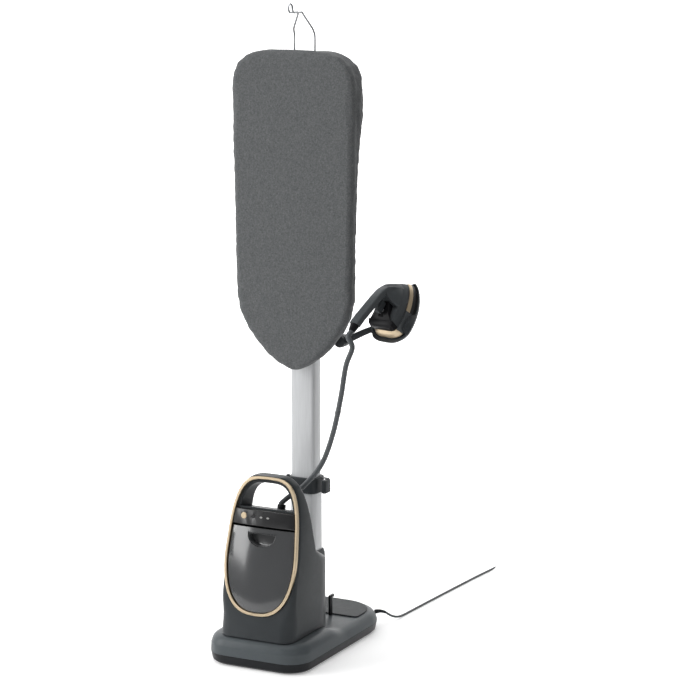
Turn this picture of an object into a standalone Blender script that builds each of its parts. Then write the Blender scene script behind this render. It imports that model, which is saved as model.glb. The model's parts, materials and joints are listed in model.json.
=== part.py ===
"""An upright ironing station: steam tower, telescopic pole, tilting board and a lift-off steam iron.

Metres, +Z up. +X is the user's right and -Y the front. The origin is on the floor, on the pole's axis.
"""

import math

import bmesh
import bpy
from mathutils import Matrix, Vector

# ---- Driving dimensions ----
GAP = 0.0003

BASE_HALF_WIDTH = 0.152
BASE_FRONT = -0.322
BASE_BACK = 0.229
RIM_HEIGHT = 0.030
FRONT_DECK = 0.0815
REAR_DECK = 0.060
PAD_HEIGHT = 0.004
WALL = 0.003

FACE_FOOT = Vector((0, -0.305, 0.105))
FACE_LEAN = math.atan(0.22)
LOOP_HALF_WIDTH = 0.110
LOOP_LOW = 0.042
LOOP_HIGH = 0.419
TOWER_HALF_WIDTH = 0.1125
HANDLE_SPACE_LOW = 0.333
PANEL_LOW = 0.284
TANK_HIGH = 0.279
TANK_DEPTH = 0.085
COVER_FRONT = -0.0287
FOOT_GAP = 0.0020

POLE_WIDTH = 0.072
POLE_DEPTH = 0.050
POLE_CORNER = 0.009
POLE_WALL = 0.002
OUTER_GROWTH = 0.003
OUTER_TOP = 0.440
INNER_FOOT = 0.275
INNER_TOP = 1.150
LEVER_PIN = Vector((0.0637, 0.0058, 0.4495))

TILT_AXIS_Z = 1.195
BOARD_FRONT = -0.080
BOARD_BACK = -0.034
CORE_FRONT = -0.056
HANGER_Y = 0.0
HANGER_LEG_FOOT = 1.430
BOARD_TIP_Z = 0.776
TIP_END_Z = 0.970
SHOULDER_Z = 1.520
BOARD_TOP_Z = 1.657
WIRE_RADIUS = 0.0026

KNOB_X = 0.114
KNOB_Z = 0.862
BOSS_X = 0.195

IRON_PLACE = Vector((0.2595, -0.030, 0.905))
IRON_SWING = math.radians(15)
IRON_TILT = math.radians(48)
IRON_HALF_WIDTH = 0.055
IRON_NOSE = 0.158
IRON_HEEL = -0.012
SHELL_BACK = 0.0118
COLUMN_BACK = 0.0574
HANDLE_REAR = -0.058

HOSE_RADIUS = 0.0071
OUTLET_X = 0.013
OUTLET_OUT = -0.066
CORD_RADIUS = 0.00325
COIL_CENTRE = Vector((0.238, 1.005, 0.0102))
COIL_RADIUS = 0.042
COIL_HOLE = 0.0215

# ---- Colours: base colour, roughness, metallic ----
DARK_GREY = ((0.085, 0.092, 0.098), 0.45, 0.0)
MID_GREY = ((0.115, 0.128, 0.135), 0.42, 0.0)
BLACK = ((0.02, 0.02, 0.022), 0.4, 0.0)
GLOSS_BLACK = ((0.012, 0.012, 0.014), 0.12, 0.0)
CHAMPAGNE = ((0.62, 0.50, 0.35), 0.3, 0.85)
SILVER = ((0.75, 0.76, 0.77), 0.35, 0.9)
STEEL = ((0.55, 0.56, 0.58), 0.35, 1.0)
BRASS = ((0.65, 0.5, 0.2), 0.35, 1.0)
SMOKE = ((0.06, 0.062, 0.066), 0.15, 0.0)
FABRIC = ((0.12, 0.125, 0.13), 0.95, 0.0)
RUBBER = ((0.03, 0.03, 0.03), 0.9, 0.0)
HOSE_GREY = ((0.10, 0.11, 0.115), 0.55, 0.0)
GREEN = ((0.03, 0.16, 0.07), 0.5, 0.0)
LENS_WHITE = ((0.75, 0.75, 0.73), 0.3, 0.0)

for old in list(bpy.data.objects):
    bpy.data.objects.remove(old, do_unlink=True)

parts = bpy.data.collections.new("ironing_station")
cutters = bpy.data.collections.new("cutters")
bpy.context.scene.collection.children.link(parts)
bpy.context.scene.collection.children.link(cutters)


# ---- Making and joining ----
def material(name, look):
    colour, roughness, metallic = look
    mat = bpy.data.materials.new(name)
    mat.use_nodes = True
    shader = mat.node_tree.nodes["Principled BSDF"]
    shader.inputs["Base Color"].default_value = (*colour, 1)
    shader.inputs["Roughness"].default_value = roughness
    shader.inputs["Metallic"].default_value = metallic
    return mat


def add_mesh(name, bm, look):
    """A finished bmesh as a named object with its own material."""
    bmesh.ops.recalc_face_normals(bm, faces=bm.faces)
    mesh = bpy.data.meshes.new(name)
    bm.to_mesh(mesh)
    bm.free()
    obj = bpy.data.objects.new(name, mesh)
    if look is None:
        cutters.objects.link(obj)
        obj.hide_render = True
        obj.display_type = "WIRE"
    else:
        parts.objects.link(obj)
        mesh.materials.append(material(name, look))
        mesh.shade_smooth()
        mesh.set_sharp_from_angle(angle=math.radians(35))
    return obj


def loft(name, rings, look, ring_closed=False):
    """A skin through rings of equal point counts, capped at both ends, or joined end to end."""
    bm = bmesh.new()
    rows = [[bm.verts.new(p) for p in ring] for ring in rings]
    pairs = list(zip(rows, rows[1:]))
    if ring_closed:
        pairs.append((rows[-1], rows[0]))
    else:
        caps = [bm.faces.new(rows[0]), bm.faces.new(rows[-1])]
        bmesh.ops.triangulate(bm, faces=caps)
    for low, high in pairs:
        for i in range(len(low)):
            j = (i + 1) % len(low)
            bm.faces.new((low[i], low[j], high[j], high[i]))
    return add_mesh(name, bm, look)


def box(name, centre, size, look, bevel=0.0):
    bpy.ops.mesh.primitive_cube_add(size=1)
    obj = bpy.context.object
    obj.data.transform(Matrix.Translation(centre) @ Matrix.Diagonal((*size, 1)))
    return adopt(obj, name, look, bevel)


def cylinder(name, centre, radius, length, look, axis=(0, 0, 1), sides=32, bevel=0.0, top=None):
    """A round bar, or a cone where top is given, centred on a point and lying along an axis."""
    top = radius if top is None else top
    bpy.ops.mesh.primitive_cone_add(vertices=sides, radius1=radius, radius2=top, depth=length)
    obj = bpy.context.object
    turn = Vector((0, 0, 1)).rotation_difference(Vector(axis)).to_matrix().to_4x4()
    obj.data.transform(Matrix.Translation(centre) @ turn)
    return adopt(obj, name, look, bevel)


def adopt(obj, name, look, bevel=0.0):
    """Names a primitive, files it with the parts or the cutters, and rounds its edges."""
    for home in list(obj.users_collection):
        home.objects.unlink(obj)
    obj.name = name
    if look is None:
        cutters.objects.link(obj)
        obj.hide_render = True
        obj.display_type = "WIRE"
        return obj
    parts.objects.link(obj)
    obj.data.materials.append(material(name, look))
    if bevel:
        edge = obj.modifiers.new("rounded edges", "BEVEL")
        edge.width = bevel
        edge.segments = 2
        edge.limit_method = "ANGLE"
    obj.data.shade_smooth()
    obj.data.set_sharp_from_angle(angle=math.radians(35))
    return obj


def boolean(obj, tool, operation="DIFFERENCE"):
    """Applies one Boolean and removes its tool."""
    cut = obj.modifiers.new("cut", "BOOLEAN")
    cut.operation = operation
    cut.object = tool
    tree = bpy.context.evaluated_depsgraph_get()
    mesh = bpy.data.meshes.new_from_object(obj.evaluated_get(tree))
    obj.modifiers.clear()
    old = obj.data
    looks = list(old.materials)
    obj.data = mesh
    mesh.materials.clear()
    for look in looks:
        mesh.materials.append(look)
    bpy.data.meshes.remove(old)
    bpy.data.objects.remove(tool, do_unlink=True)
    return obj


def wire(name, points, radius, look, resolution=2, smooth_steps=0, closed=False):
    """A round bar along a route, as a mesh whose caps are welded."""
    route = smooth_route(points, smooth_steps) if smooth_steps else points
    data = bpy.data.curves.new(name, "CURVE")
    data.dimensions = "3D"
    data.bevel_depth = radius
    data.bevel_resolution = resolution
    data.use_fill_caps = True
    spline = data.splines.new("POLY")
    spline.points.add(len(route) - 1)
    for point, place in zip(spline.points, route):
        point.co = (*place, 1)
    spline.use_cyclic_u = closed
    guide = bpy.data.objects.new(name + " guide", data)
    cutters.objects.link(guide)
    tree = bpy.context.evaluated_depsgraph_get()
    mesh = bpy.data.meshes.new_from_object(guide.evaluated_get(tree))
    bpy.data.objects.remove(guide, do_unlink=True)
    bm = bmesh.new()
    bm.from_mesh(mesh)
    bpy.data.meshes.remove(mesh)
    bmesh.ops.remove_doubles(bm, verts=bm.verts, dist=0.00001)
    return add_mesh(name, bm, look)


def smooth_route(points, steps):
    """Points along a smooth curve through the given ones, steps to each span."""
    pts = [Vector(p) for p in points]
    pts = [2 * pts[0] - pts[1]] + pts + [2 * pts[-1] - pts[-2]]
    route = []
    for a, b, c, d in zip(pts, pts[1:], pts[2:], pts[3:]):
        for k in range(steps):
            t = k / steps
            route.append(
                0.5 * (2 * b + (c - a) * t + (2 * a - 5 * b + 4 * c - d) * t * t
                       + (3 * b - a - 3 * c + d) * t ** 3)
            )
    return route + [pts[-2]]


# ---- Outlines ----
def rounded(half_width, front, back, front_radius, back_radius, per_corner=6, side_steps=1):
    """A rectangle with round corners, as (x, y) points in order, its long sides in side_steps spans."""
    points = []
    corners = (
        (half_width - back_radius, back - back_radius, back_radius, 0),
        (-half_width + back_radius, back - back_radius, back_radius, 90),
        (-half_width + front_radius, front + front_radius, front_radius, 180),
        (half_width - front_radius, front + front_radius, front_radius, 270),
    )
    side_low, side_high = front + front_radius, back - back_radius
    for x, y, radius, start in corners:
        for k in range(per_corner + 1):
            angle = math.radians(start + 90 * k / per_corner)
            points.append((x + radius * math.cos(angle), y + radius * math.sin(angle)))
        if start in (90, 270):
            side = -half_width if start == 90 else half_width
            for k in range(1, side_steps):
                share = k / side_steps if start == 270 else 1 - k / side_steps
                points.append((side, side_low + (side_high - side_low) * share))
    return points


def ease(value, low, high):
    t = min(1.0, max(0.0, (value - low) / (high - low)))
    return t * t * (3 - 2 * t)


def loop_half_width(s, inset=0.0):
    """Half the oval's width at a height up the leaning face."""
    middle = 0.5 * (LOOP_LOW + LOOP_HIGH) - 0.012
    power = 3.6 if s > middle else 2.6
    reach = (LOOP_HIGH - middle if s > middle else middle - LOOP_LOW) - inset
    share = min(1.0, abs(s - middle) / reach)
    taper = 1 - 0.55 * max(0.0, s - 0.20)
    return (LOOP_HALF_WIDTH * taper - inset) * (1 - share ** power) ** (1 / power)


def loop_outline(inset=0.0, low=None, high=None, steps=28):
    """The tower's oval front outline, or a slice of it, as (x, s) points, s running up the face."""
    bottom = LOOP_LOW + inset if low is None else low
    top = LOOP_HIGH - inset if high is None else high
    levels = [bottom + (top - bottom) * (1 - math.cos(math.pi * k / steps)) / 2 for k in range(steps + 1)]
    right = [(loop_half_width(s, inset), s) for s in levels]
    left = [(-x, s) for x, s in reversed(right)]
    if high is None:
        left = left[1:]
        right[-1] = (0.0, top)
    if low is None:
        left = left[:-1]
        right[0] = (0.0, bottom)
    return right + left


def on_face(x, s, out=0.0):
    """A point given across, up and out from the tower's leaning front face."""
    up = Vector((0, math.sin(FACE_LEAN), math.cos(FACE_LEAN)))
    outward = Vector((0, -math.cos(FACE_LEAN), math.sin(FACE_LEAN)))
    return FACE_FOOT + Vector((x, 0, 0)) + up * s + outward * out


def face_prism(name, outline, front, back, look):
    return loft(name, [[on_face(x, s, d) for x, s in outline] for d in (back, front)], look)


def deck_height(y):
    """The base cover's top: high in front under the tower, lower behind it."""
    t = min(1.0, max(0.0, (y + 0.130) / 0.080))
    return FRONT_DECK + (REAR_DECK - FRONT_DECK) * t * t * (3 - 2 * t)


# ---- Base ----
def base_outline(inset):
    return rounded(BASE_HALF_WIDTH - inset, BASE_FRONT + inset, BASE_BACK - inset,
                   0.066 - inset * 0.44, 0.115 - inset * 0.76, side_steps=12)


def make_base():
    def tray_ring(inset, z):
        return [(x, y, z) for x, y in base_outline(inset)]

    tray = loft("base_tray", [
        tray_ring(0.010, PAD_HEIGHT - 0.0015), tray_ring(0.004, PAD_HEIGHT + 0.004),
        tray_ring(0.0, RIM_HEIGHT), tray_ring(WALL, RIM_HEIGHT),
        tray_ring(0.007, PAD_HEIGHT + 0.005), tray_ring(0.014, PAD_HEIGHT + 0.002),
    ], BLACK)
    boolean(tray, cylinder("heel boss", (0, 0, 0.003), 0.030, 0.006, None, top=0.030), "UNION")
    for name, x, y in (("front_left", -0.095, -0.255), ("front_right", 0.095, -0.255),
                       ("rear_left", -0.085, 0.170), ("rear_right", 0.085, 0.170)):
        cylinder("foot_pad_" + name, (x, y, 0.001), 0.017, 0.002, RUBBER, sides=24)
    box("ballast_plate", (0, -0.135, 0.0135), (0.20, 0.15, 0.014), STEEL, 0.002)

    def cover_ring(inset, drop, skin=0.0):
        return [(x, y, max(RIM_HEIGHT + GAP, deck_height(y) - drop) - skin)
                for x, y in base_outline(inset)]

    rim = [(x, y, RIM_HEIGHT + GAP) for x, y in base_outline(0.0)]
    rim_in = [(x, y, RIM_HEIGHT + GAP) for x, y in base_outline(WALL)]
    outer = [cover_ring(0.001, 0.026), cover_ring(0.005, 0.013), cover_ring(0.012, 0.0045),
             cover_ring(0.024, 0.0), cover_ring(0.080, 0.0), cover_ring(0.146, 0.0)]
    inner = [cover_ring(0.146, 0.0, WALL), cover_ring(0.080, 0.0, WALL), cover_ring(0.025, 0.0, WALL),
             cover_ring(0.015, 0.006, WALL), cover_ring(0.008, 0.016, WALL)]
    loft("base_cover", outer[::-1] + [rim, rim_in] + inner[::-1], MID_GREY)
    cover = bpy.data.objects["base_cover"]
    hole = box("pole hole", (0, 0, 0.06), (0.081, 0.059, 0.08), None)
    boolean(cover, hole)
    loft("tail_panel", tail_panel_rings(), DARK_GREY)
    socket_rings = []
    for grow, z in ((0.016, 0.0125), (0.016, 0.017), (0.006, 0.020), (0.006, 0.0565)):
        socket_rings.append([(x, y, z) for x, y in pole_outline(OUTER_GROWTH + grow)])
    for z in (0.0565, 0.0125):
        socket_rings.append([(x, y, z) for x, y in pole_outline(OUTER_GROWTH + GAP)])
    loft("pole_socket", socket_rings, STEEL, ring_closed=True)


def tail_panel_rings():
    """The dark panel let into the tail's top, a thin plate with bevelled edges."""
    low, high = REAR_DECK + GAP, REAR_DECK + 0.0035
    shape = [(0.0, low), (0.0, high - 0.0012), (0.0015, high)]
    return [[(x, y, z) for x, y in rounded(0.1265 - inset, 0.0625 + inset, 0.2035 - inset,
                                           0.012, 0.095 - inset)] for inset, z in shape]


# ---- Pole ----
def pole_outline(grow):
    half_x, half_y = POLE_WIDTH / 2 + grow, POLE_DEPTH / 2 + grow
    radius = max(0.002, POLE_CORNER + grow)
    return rounded(half_x, -half_y, half_y, radius, radius, per_corner=4)


def pole_tube(name, grow, wall, low, high, look):
    ring = [[(x, y, z) for x, y in pole_outline(g)]
            for g, z in ((grow, low), (grow, high), (grow - wall, high), (grow - wall, low))]
    return loft(name, ring, look, ring_closed=True)


def lever_outline(inset, steps=5):
    """The clamp lever seen from above, its inner rear corner round about its pin."""
    turn_radius, corner = 0.0052 - inset, 0.0045
    outer_x, front_y = LEVER_PIN.x + 0.0085 - inset, LEVER_PIN.y - 0.0290 + inset
    rear_y = LEVER_PIN.y + turn_radius
    centres = (
        (LEVER_PIN.x, LEVER_PIN.y, turn_radius, 180), (outer_x - corner, rear_y - corner, corner, 90),
        (outer_x - corner, front_y + corner, corner, 0),
        (LEVER_PIN.x - turn_radius + corner, front_y + corner, corner, -90))
    points = []
    for x, y, radius, first in centres:
        for k in range(steps + 1):
            angle = math.radians(first - 90 * k / steps)
            points.append((x + radius * math.cos(angle), y + radius * math.sin(angle)))
    return points


def make_pole():
    pole_tube("outer_pole", OUTER_GROWTH, POLE_WALL, 0.014, OUTER_TOP, SILVER)
    pole_tube("inner_pole", 0.0, POLE_WALL, INNER_FOOT, INNER_TOP, SILVER)
    pole_tube("lower_bushing", OUTER_GROWTH - POLE_WALL - GAP, 0.0055, INNER_FOOT - 0.0303,
              INNER_FOOT - GAP, BLACK)
    collar = loft("pole_collar", [
        [(x, y, z) for x, y in pole_outline(grow)] for grow, z in (
            (OUTER_GROWTH + GAP, 0.4285), (0.0085, 0.4285), (0.0095, 0.4300), (0.0095, 0.4695),
            (0.0080, 0.4715), (GAP, 0.4715), (GAP, OUTER_TOP + GAP), (OUTER_GROWTH + GAP, OUTER_TOP + GAP))
    ], DARK_GREY, ring_closed=True)
    for side in (-1, 1):
        ear = box("ear", (0.0555, LEVER_PIN.y, LEVER_PIN.z + side * 0.0197), (0.0240, 0.0100, 0.0018), None)
        boolean(collar, ear, "UNION")
    boolean(collar, box("lip", (-0.0415, -0.029, 0.4730), (0.006, 0.010, 0.008), None), "UNION")
    lever = loft("collar_lever", [[(x, y, LEVER_PIN.z + z) for x, y in lever_outline(inset)] for inset, z in (
        (0.0018, -0.0185), (0.0, -0.0168), (0.0, 0.0168), (0.0018, 0.0185))], DARK_GREY)
    for piece in (collar, lever):
        boolean(piece, cylinder("pin hole", LEVER_PIN, 0.0022 + GAP, 0.08, None, sides=16))
    cylinder("lever_pin", LEVER_PIN, 0.0022, 0.0416, STEEL, sides=16)
    head = loft("pole_head", [
        [(x, y, z) for x, y in pole_outline(grow)] for grow, z in (
            (-POLE_WALL - GAP, 1.10), (-POLE_WALL - GAP, INNER_TOP + GAP),
            (0.0, INNER_TOP + GAP), (0.0, 1.160), (-0.002, 1.162))
    ], DARK_GREY)
    for side in (-1, 1):
        ear = box("ear", (side * 0.022, 0, 1.183), (0.010, 0.026, 0.048), None)
        boolean(head, ear, "UNION")
    boolean(head, cylinder("pin hole", (0, 0, TILT_AXIS_Z), 0.004 + GAP, 0.2, None, axis=(1, 0, 0), sides=24))
    cylinder("tilt_pin", (0, 0, TILT_AXIS_Z), 0.004, 0.062, STEEL, axis=(1, 0, 0), sides=24)


# ---- Tower ----
def tower_ring(z, grow=0.0):
    """One level cut through the tower body."""
    up_face = (z - FACE_FOOT.z) / math.cos(FACE_LEAN)
    front = FACE_FOOT.y + math.tan(FACE_LEAN) * (z - FACE_FOOT.z) + 0.0012 - grow
    shoulder = min(1.0, max(0.0, (z - 0.268) / 0.037))
    back = -0.0295 * (1 - shoulder) + (-0.138 - 0.165 * (z - 0.27)) * shoulder + grow
    half = TOWER_HALF_WIDTH + grow
    middle = 0.5 * (LOOP_LOW + LOOP_HIGH) - 0.012
    if up_face > middle:
        taper = 1 - 0.55 * max(0.0, up_face - 0.20)
        rise = min(0.9999, (up_face - middle) / (LOOP_HIGH + 0.0035 + grow - middle))
        half = (LOOP_HALF_WIDTH * taper + 0.0025 + grow) * (1 - rise ** 3.6) ** (1 / 3.6)
    corner = min(0.014 + 0.024 * (1 - ease(z, 0.12, 0.20)), half * 0.45)
    back_corner = min((0.095 * (1 - shoulder) + 0.016 * shoulder), half * 0.85, (back - front) * 0.45)
    return rounded(half, front, back, corner, back_corner, side_steps=8)


def tower_body(name, look, grow=0.0, low=None, high=None):
    levels = [0.10, 0.12, 0.14, 0.16, 0.18, 0.20, 0.235, 0.268, 0.280, 0.293, 0.305, 0.34, 0.38, 0.41, 0.44, 0.465,
              0.485, 0.498, 0.506, 0.5115, 0.5145]
    if high is not None:
        levels = [z for z in levels if z < high] + [high]
    rings = [[(x, y, z) for x, y in tower_ring(z, grow)] for z in levels]
    if low is None:
        foot = [(x, y, deck_height(y) + FOOT_GAP) for x, y in tower_ring(0.085, grow)]
    else:
        foot = [(x, y, low) for x, y in tower_ring(0.085, grow)]
    return loft(name, [foot] + rings, look)


def make_tower():
    shell = tower_body("tower_shell", DARK_GREY)
    boolean(shell, tower_body("tower hollow", None, grow=-WALL, low=0.05, high=0.400))
    handle_space = loop_outline(0.0165, low=HANDLE_SPACE_LOW)
    boolean(shell, face_prism("handle space", handle_space, 0.05, -0.16, None))
    boolean(shell, face_prism("front opening", loop_outline(0.0075, high=HANDLE_SPACE_LOW - 0.005),
                              0.05, -0.036, None))
    boolean(shell, face_prism("ring seat", loop_outline(-0.0012), 0.05, -0.0060, None))

    ring_levels = ((0.0, -0.0055), (0.0, 0.0035), (0.0015, 0.0048), (0.0060, 0.0048),
                   (0.0074, 0.0035), (0.0074, -0.0055))
    loft("trim_ring", [[on_face(x, s, d) for x, s in loop_outline(inset)] for inset, d in ring_levels],
         CHAMPAGNE, ring_closed=True)

    make_rear_cover()
    make_tank()
    make_panel()
    box("water_pump", (-0.045, -0.100, 0.1135), (0.052, 0.060, 0.056), BLACK, 0.004)
    cylinder("boiler", (0.035, -0.105, 0.158), 0.038, 0.140, STEEL, sides=32, bevel=0.006)
    wire("feed_pipe", [(-0.045, -0.100, 0.1425), (-0.045, -0.100, 0.20), (-0.040, -0.100, 0.235),
                       (-0.020, -0.103, 0.252), (0.015, -0.105, 0.250), (0.033, -0.105, 0.240),
                       (0.035, -0.105, 0.2290)], 0.003, BRASS, smooth_steps=4)


def open_u(half_width, back, radius, per_corner=6):
    """The back and sides of a rounded rectangle, from the right front end round to the left one."""
    corners = rounded(half_width, 2 * COVER_FRONT - back, back, radius, radius, per_corner)
    return [(half_width, COVER_FRONT)] + corners[:2 * (per_corner + 1)] + [(-half_width, COVER_FRONT)]


def make_rear_cover():
    """The cover that closes the tower round the pole, from the deck up to the shoulder."""
    clear = OUTER_GROWTH + 0.0008
    inner = open_u(POLE_WIDTH / 2 + clear, POLE_DEPTH / 2 + clear, 0.010)[::-1]
    levels = ((0.0460, 0.0345, REAR_DECK + GAP), (0.0460, 0.0345, 0.250), (0.0435, 0.0320, 0.262))
    loft("tower_rear_cover", [[(x, y, z) for x, y in open_u(half, back, 0.014) + inner]
                              for half, back, z in levels], DARK_GREY)


def tank_slice(s):
    """One level cut across the tank: flat behind, its front wall bulging."""
    half = max(0.006, loop_half_width(s, 0.0085))
    across = [(half - 0.0025) * (1 - k / 6) for k in range(13)]
    front = [(x, 0.010 * (half / 0.10) * (1 - (x / half) ** 2)) for x in across]
    points = [(half, -TANK_DEPTH), (half, -0.004)] + front + [(-half, -0.004), (-half, -TANK_DEPTH)]
    return [on_face(x, s, out) for x, out in points]


def make_tank():
    low = LOOP_LOW + 0.0090
    levels = [low + (TANK_HIGH - low) * (1 - math.cos(math.pi / 2 * k / 16)) for k in range(17)]
    tank = loft("water_tank", [tank_slice(s) for s in levels], SMOKE)
    hollow = loft("tank hollow", [[on_face(x, s, out) for x, s in
                                   loop_outline(0.0115, high=TANK_HIGH - 0.003)]
                                  for out in (-TANK_DEPTH + 0.003, -0.0045)], None)
    boolean(tank, hollow)
    boolean(tank, face_prism("grip pocket", grip_outline(0.0), 0.02, -0.020, None))
    boolean(tank, face_prism("fill hole", [(-0.014, 0.262), (0.014, 0.262), (0.014, 0.30), (-0.014, 0.30)],
                             -0.034, -0.060, None))
    boolean(tank, cylinder("valve hole", on_face(-0.040, 0.085, -TANK_DEPTH), 0.0053, 0.02, None,
                           axis=on_face(0, 0, 1) - on_face(0, 0, 0), sides=24))
    cup = loft("tank_grip", [[on_face(x, s, out) for x, s in grip_outline(inset)] for inset, out in (
        (0.0004, -0.0195), (0.0004, 0.0052), (0.0022, 0.0060), (0.0034, 0.0048), (0.0050, -0.0165))],
        BLACK)
    cup.data.shade_smooth()
    cylinder("tank_valve", on_face(-0.040, 0.085, -TANK_DEPTH - 0.0005), 0.005, 0.012, LENS_WHITE,
             axis=on_face(0, 0, 1) - on_face(0, 0, 0), sides=24)
    dock_outline = loop_outline(0.0085, high=TANK_HIGH)
    dock = face_prism("tank_dock", dock_outline, -TANK_DEPTH - 0.0010, -TANK_DEPTH - 0.0040, BLACK)
    boolean(dock, cylinder("dock hole", on_face(-0.040, 0.085, -TANK_DEPTH), 0.0065, 0.03, None,
                           axis=on_face(0, 0, 1) - on_face(0, 0, 0), sides=24))


def grip_outline(inset):
    """The finger pocket at the tank's top: straight above, round below."""
    half, top, drop = 0.043 - inset, 0.2665 - inset, 0.038 - 2 * inset
    points = [(half, top), (-half, top)]
    for k in range(1, 16):
        angle = math.pi * k / 16
        points.append((-half * math.cos(angle), top - drop * math.sin(angle) ** 0.8))
    return points


def make_panel():
    """The glossy control panel, its front bulging like a shallow barrel."""
    rings = []
    for out in (-0.032, -0.004):
        rings.append([on_face(x, s, out) for x, s in panel_outline(0.0)])
    for inset, base in ((0.0005, 0.0), (0.0025, 0.0022)):
        rings.append([on_face(x, s, base + panel_bulge(x)) for x, s in panel_outline(inset)])
    panel = loft("control_panel", rings, GLOSS_BLACK)
    normal = on_face(0, 0, 1) - on_face(0, 0, 0)
    buttons = (("power_button", -0.0585, 0.0086, 0.0086, CHAMPAGNE),
               ("steam_button", -0.0300, 0.0078, 0.0042, BLACK))
    for name, x, half_x, half_s, look in buttons:
        pocket = oval(x, 0.3085, half_x + 0.0005, half_s + 0.0005)
        boolean(panel, face_prism("pocket", pocket, 0.03, 0.0012, None))
        top = panel_bulge(x) + 0.0022
        cap = oval(x, 0.3085, half_x, half_s)
        rim = oval(x, 0.3085, half_x - 0.0008, half_s - 0.0008)
        low = 0.0038
        loft(name, [[on_face(px, s, low) for px, s in cap], [on_face(px, s, top + 0.0007) for px, s in cap],
                    [on_face(px, s, top + 0.0014) for px, s in rim]], look)
    for name, x in (("left_lens", -0.0040), ("right_lens", 0.0165)):
        pocket = oval(x, 0.3085, 0.0043, 0.0027)
        boolean(panel, face_prism("lens pocket", pocket, 0.03, 0.0090, None))
        lens = oval(x, 0.3085, 0.0040, 0.0024)
        loft(name, [[on_face(px, s, d) for px, s in lens] for d in (0.0093, panel_bulge(x) + 0.0020)], LENS_WHITE)
    place = on_face(0, 0.2955, -0.041)
    board = box("control_board", (0, 0, 0), (0.120, 0.0016, 0.021), GREEN)
    board.data.transform(Matrix.Translation(place) @ Matrix.Rotation(-FACE_LEAN, 4, "X"))
    out_axis = on_face(0, 1, 0) - on_face(0, 0, 0)
    seat = on_face(OUTLET_X, HANDLE_SPACE_LOW + GAP, OUTLET_OUT)
    outlet = cylinder("hose_outlet", seat + out_axis * 0.006, 0.0115, 0.012, BLACK, axis=out_axis,
                      sides=24, bevel=0.0015)
    boolean(outlet, cylinder("outlet bore", seat, HOSE_RADIUS + 0.0020, 0.06, None, axis=out_axis, sides=24))


def panel_bulge(x):
    return 0.0125 * (1 - (x / 0.098) ** 2)


def panel_outline(inset):
    """The panel's outline, inside the ring and between the tank and the handle space."""
    low, high = PANEL_LOW + inset, HANDLE_SPACE_LOW - 0.0058 - inset
    half_low, half_high = loop_half_width(low, 0.0082 + inset), loop_half_width(high, 0.0082 + inset)
    points = []
    steps = 12
    for k in range(steps + 1):
        points.append((-half_low + 2 * half_low * k / steps, low))
    for k in range(steps + 1):
        points.append((half_high - 2 * half_high * k / steps, high))
    return points


def oval(x, s, half_x, half_s, count=24):
    return [(x + half_x * math.cos(2 * math.pi * k / count), s + half_s * math.sin(2 * math.pi * k / count))
            for k in range(count)]


# ---- Board ----
def board_half_width(z):
    """Half the board's width at a height: a rounded tip below, long sides, a flat arch on top."""
    if z < TIP_END_Z:
        share = (z - BOARD_TIP_Z) / (TIP_END_Z - BOARD_TIP_Z)
        return 0.181 * (1 - (1 - share) ** 1.5) ** 0.66
    side = 0.181 + 0.010 * min(1.0, (z - TIP_END_Z) / 0.545)
    share = max(0.0, (z - SHOULDER_Z) / (BOARD_TOP_Z - SHOULDER_Z))
    return side * (1 - share ** 3.5) ** (1 / 3.5)


def core_back(z):
    """The core's back is level below and swells at the top, where the hanger slides."""
    return BOARD_BACK + 0.027 * ease(z, 1.28, 1.50) - 0.010 * ease(z, 1.60, 1.655)


def board_levels(inset, count=22):
    low, high = BOARD_TIP_Z + inset + 0.0008, BOARD_TOP_Z - inset - 0.0008
    share = [(1 - math.cos(math.pi * k / count)) / 2 for k in range(count + 1)]
    return [low + (high - low) * s for s in share]


def board_solid(name, inset, front, back_of, edge, look):
    """A board-shaped solid, its front edges rounded by edge."""
    rings = []
    levels = board_levels(inset)
    for z in levels:
        half = max(0.006, board_half_width(z) - inset)
        close = min(z - levels[0], levels[-1] - z)
        nose = edge * 0.6 * (1 - min(1.0, close / 0.02)) ** 2
        round_front = min(edge, half * 0.6)
        rings.append([(x, y, z) for x, y in
                      rounded(half, front + nose, back_of(z), round_front, min(0.004, half * 0.5))])
    return loft(name, rings, look)


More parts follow.
